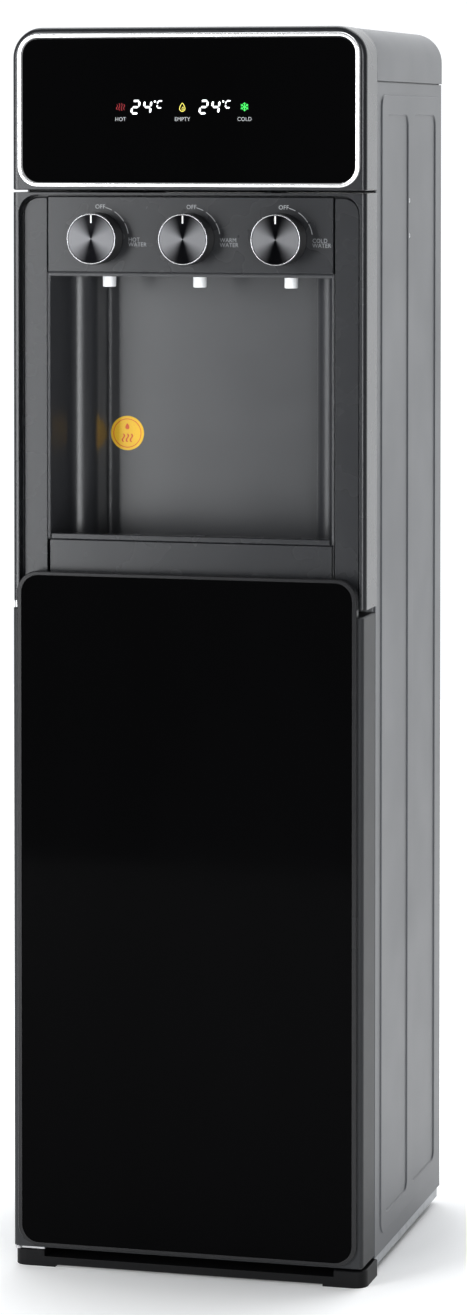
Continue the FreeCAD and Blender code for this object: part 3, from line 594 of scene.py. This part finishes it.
for tag, text, x in (("hot", "HOT", -0.0582), ("low", "EMPTY", -0.0039), ("cold", "COLD", 0.0503)):
    words("display_label_" + tag, text, x, 0.9825, GY - 0.00006, 0.0048, PRINT, squeeze=0.92)

# ------------------------------------------------------------------ bright bead round the head glass
def bead(name, node, half, r_out, width, proud, material, body, depth=0.0042, seg=20, cross=14):
    """Closed frame of rounded-rectangle path and domed section, the same size as its CAD node."""
    lo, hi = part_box(node)
    cx, cz = (lo.x + hi.x) / 2, (lo.z + hi.z) / 2
    hx, hz = (hi.x - lo.x) / 2, (hi.z - lo.z) / 2
    sect = [(0.0, depth)]                                # inset from the outer outline, depth behind the front
    for k in range(cross + 1):
        a = math.pi * k / cross
        sect.append((width / 2 * (1 - math.cos(a)), proud * (1 - math.sin(a) ** 0.6)))
    sect.append((width, depth))
    bm = bmesh.new()
    rings = []
    for inset, back in sect:
        r = max(r_out - inset, 0.0005)
        pts = rounded(cx - hx + inset, cx + hx - inset, cz - hz + inset, cz + hz - inset, r, seg)
        rings.append([bm.verts.new((x, lo.y + back, z)) for x, z in pts])
    n = len(rings[0])
    for a, b in zip(rings, rings[1:] + rings[:1]):
        for i in range(n):
            j = (i + 1) % n
            bm.faces.new((a[i], a[j], b[j], b[i]))
    o = piece(name, bm, material, body)
    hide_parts(node)
    return o


# the bead's chrome glows at emission 0.30, a painted highlight
bead("display_bead", "display_trim_ring", None, 0.0180, 0.0034, 0.0011, MATS["bead"], "cabinet")

# ------------------------------------------------------------------ dial marks, knob faces
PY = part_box("control_panel")[0].y
TAPS = [("hot", -0.0804, "HOT\nWATER"), ("warm", 0.0, "WARM\nWATER"), ("cold", 0.0804, "COLD\nWATER")]


def spun(name, dark, light):
    """Disc turned on a lathe: radial anisotropic gloss, with painted highlight wedges left and right of the middle set
    in its base colour over the dark metal above and below.
    """
    m = Nodes(name)
    geo = m.add("ShaderNodeTangent", direction_type="RADIAL", axis="Y")
    axes = m.add("ShaderNodeSeparateXYZ")
    m.link(geo.outputs[0], axes.inputs[0])
    side = m.math("ABSOLUTE", axes.outputs["Z"], 0.0)                       # 1 at the left and right, 0 at the top and bottom: where the painted highlight goes
    painted_glint = m.span(m.math("POWER", side, 1.6), 0.0, 1.0, 0.10, 0.92)
    painted_glint = m.math("ADD", painted_glint, m.span(m.noise(60.0, 3.0), -0.05, 0.05, 0.3, 0.7))
    # base colour runs from the dark metal to the light colour in the wedges: a painted highlight
    m.link(m.ramp(painted_glint, [(0.0, dark), (1.0, light)]), m.bsdf.inputs["Base Color"])
    m.link(geo.outputs[0], m.bsdf.inputs["Tangent"])
    m.link(m.span(m.noise(250.0, 3.0, 0.6), 0.29, 0.33, 0.3, 0.7), m.bsdf.inputs["Roughness"])
    m.set(Metallic=1.0, Anisotropic=0.80, Anisotropic_Rotation=0.25)
    return m.mat


# dark metal with painted highlight wedges in its base colour, shared by the knob discs and centres
SPUN_PAINTED_GLINTS = spun("spun_metal_painted_glints", (0.005, 0.005, 0.006), (0.125, 0.125, 0.130))
for tag, x, label in TAPS:
    body = tag + "_tap_knob"
    give(NODES[tag + "_knob_disc"], SPUN_PAINTED_GLINTS)
    c = (x, 0.0, 0.883)
    # bright turned rim between the disc and the skirt, its chrome lifted by a faint painted glow
    bm = bmesh.new()
    prof = [(0.02050 + 0.00045 * (1 - math.cos(math.pi * k / 10)), -0.15760 - 0.00052 * math.sin(math.pi * k / 10)) for k in range(11)]
    prof += [(0.02140, -0.15720), (0.02050, -0.15720)]
    rings = lathe(bm, prof + [prof[0]], c, 160)
    bmesh.ops.remove_doubles(bm, verts=bm.verts, dist=1e-7)
    piece(tag + "_knob_rim", bm, MATS["knob_rim"], body)
    # fine turning grooves near the centre of the disc
    bm = bmesh.new()
    lathe(bm, [(0.0, -0.15806), (0.0004, -0.15808), (0.0009, -0.15806), (0.0013, -0.15801)], c, 48)
    piece(tag + "_knob_centre", bm, SPUN_PAINTED_GLINTS, body)
    # pointer
    bm = bmesh.new()
    slab(bm, rounded(x - 0.00062, x + 0.00062, 0.883 + 0.0134, 0.883 + 0.0202, 0.0003, 3), -0.15812, -0.15795)
    piece(tag + "_knob_pointer", bm, WHITE_INK, body, smooth=False)
    # dark ring on the panel round the shaft: painted shade standing in for the knob's shadow in the gap behind it
    bm = bmesh.new()
    lathe(bm, [(0.0075, -0.13700), (0.0075, -0.13745), (0.0195, -0.13745), (0.0199, -0.13720), (0.0199, -0.13700)], c, 96)
    piece(tag + "_dial_painted_shade_ring", bm, MATS["knob"], "cabinet")
    # printed scale
    bm = bmesh.new()
    for a0, a1 in ((14, 27), (33, 57.5), (61, 81)):
        arc_strip(bm, x, 0.883, 0.0270, 0.00055, a0, a1, PY - 0.00008, PY + 0.00002)
    piece(tag + "_dial_scale", bm, PRINT, "cabinet", smooth=False)
    words(tag + "_dial_off", "OFF", x + 0.0020, 0.883 + 0.0252, PY - 0.00006, 0.0052, PRINT, squeeze=0.95)
    words(tag + "_dial_label", label, x + 0.0268, 0.883 - 0.0026, PY - 0.00006, 0.0050, PRINT_DIM, align="LEFT", squeeze=0.92)

# ------------------------------------------------------------------ round sticker on the niche's back wall
SY = -0.0530
c = (-0.0792, 0.0, 0.7115)
STICK = {"yellow": ink("sticker_yellow", (1.0, 0.60, 0.03), 0.42), "orange": ink("sticker_orange", (0.78, 0.115, 0.02), 0.42)}
bm = bmesh.new()
lathe(bm, [(0.0, SY - 0.00022), (0.0146, SY - 0.00022), (0.0149, SY - 0.00015), (0.0150, SY)], c, 96)
piece("hot_water_sticker", bm, STICK["yellow"], "cabinet")
bm = bmesh.new()
lathe(bm, [(0.0120, SY - 0.00020), (0.0120, SY - 0.00030), (0.01265, SY - 0.00030), (0.01265, SY - 0.00020)], c, 96)
slab(bm, drop_outline(c[0], c[2] + 0.0058, 0.0019, 20), SY - 0.0003, SY - 0.0002)
for k in range(3):
    left, right = [], []
    for i in range(13):
        v = -1 + 2 * i / 12
        wx = c[0] + (k - 1) * 0.0036 + 0.0009 * math.sin(v * math.pi)
        left.append((wx - 0.0007, c[2] - 0.0042 + v * 0.0036))
        right.append((wx + 0.0007, c[2] - 0.0042 + v * 0.0036))
    slab(bm, left + right[::-1], SY - 0.0003, SY - 0.0002)
piece("hot_water_sticker_mark", bm, STICK["orange"], "cabinet", smooth=False)

# ------------------------------------------------------------------ floor and light
bm = bmesh.new()
bmesh.ops.create_grid(bm, x_segments=12, y_segments=12, size=2.8)
me = bpy.data.meshes.new("studio_floor")
bm.to_mesh(me)
bm.free()
floor = bpy.data.objects.new("studio_floor", me)
floor.location = (0.1, 0.7, 0)
bpy.context.scene.collection.objects.link(floor)
fm = Nodes("pale_floor_painted_shadow")
fm.link(fm.ramp(fm.noise(1.5, 2.0), [(0.3, (0.90, 0.90, 0.90)), (0.7, (0.93, 0.93, 0.93))]), fm.bsdf.inputs["Base Color"])
fm.link(fm.span(fm.noise(30.0), 0.7, 0.85), fm.bsdf.inputs["Roughness"])
ln = fm.add("ShaderNodeVectorMath", operation="LENGTH")
fm.link(fm.mapped((1, 1, 1), loc=(0.07, 0.65, 0)), ln.inputs[0])       # distance from the middle of the body
# floor emission is painted light: none within 0.15 m of the body, leaving a painted shadow round the base, rising to a
# bright floor further out
painted_glow = fm.ramp(ln.outputs["Value"], [(0.15, (0.0, 0.0, 0.0)), (0.27, (0.26, 0.26, 0.26)), (0.42, (0.42, 0.42, 0.42)), (0.9, (0.5, 0.5, 0.5))])
fm.link(painted_glow, fm.bsdf.inputs["Emission Strength"])
fm.set(Specular_IOR_Level=0.1, Emission_Color=(1.0, 1.0, 1.0))
me.materials.append(fm.mat)


def softbox(name, loc, target, size, power, col=(0.965, 0.982, 1.0), spread=180):
    li = bpy.data.lights.new(name, "AREA")
    li.shape = "RECTANGLE"
    li.size, li.size_y = size
    li.energy = power
    li.color = col
    li.spread = math.radians(spread)
    o = bpy.data.objects.new(name, li)
    o.location = loc
    o.rotation_mode = "QUATERNION"
    o.rotation_quaternion = (Vector(target) - Vector(loc)).to_track_quat("-Z", "Y")
    bpy.context.scene.collection.objects.link(o)
    return o


softbox("soft_left", (-1.28, -2.20, 0.75), (0.0, -0.15, 0.65), (0.8, 2.2), 52)
softbox("soft_front_right", (1.12, -2.50, 0.80), (-0.08, -0.08, 0.72), (0.42, 1.6), 26)
softbox("soft_far_left", (-2.05, -1.45, 0.90), (0.08, -0.08, 0.70), (0.35, 1.6), 11)
softbox("soft_top", (0.3, 1.25, 3.2), (0.15, 0.85, 0.0), (3.0, 3.0), 92)

world = bpy.data.worlds.new("studio_world")
world.use_nodes = True
bpy.context.scene.world = world
wt = world.node_tree
bg = wt.nodes["Background"]
tc = wt.nodes.new("ShaderNodeTexCoord")
sep = wt.nodes.new("ShaderNodeSeparateXYZ")
wt.links.new(tc.outputs["Generated"], sep.inputs[0])
mr = wt.nodes.new("ShaderNodeMapRange")
mr.inputs["From Min"].default_value = 0.15
mr.inputs["From Max"].default_value = 0.80
mr.inputs["To Min"].default_value = 0.06
mr.inputs["To Max"].default_value = 1.45
wt.links.new(sep.outputs["Y"], mr.inputs["Value"])
lp = wt.nodes.new("ShaderNodeLightPath")
seen = wt.nodes.new("ShaderNodeMix")
wt.links.new(lp.outputs["Is Camera Ray"], seen.inputs[0])
wt.links.new(mr.outputs[0], seen.inputs[2])
seen.inputs[3].default_value = 1.10                       # the backdrop itself is plain white
wt.links.new(seen.outputs[0], bg.inputs["Strength"])
bg.inputs["Color"].default_value = (0.965, 0.982, 1.0, 1)
bpy.context.scene.view_settings.view_transform = "Standard"
bpy.context.scene.view_settings.look = "None"
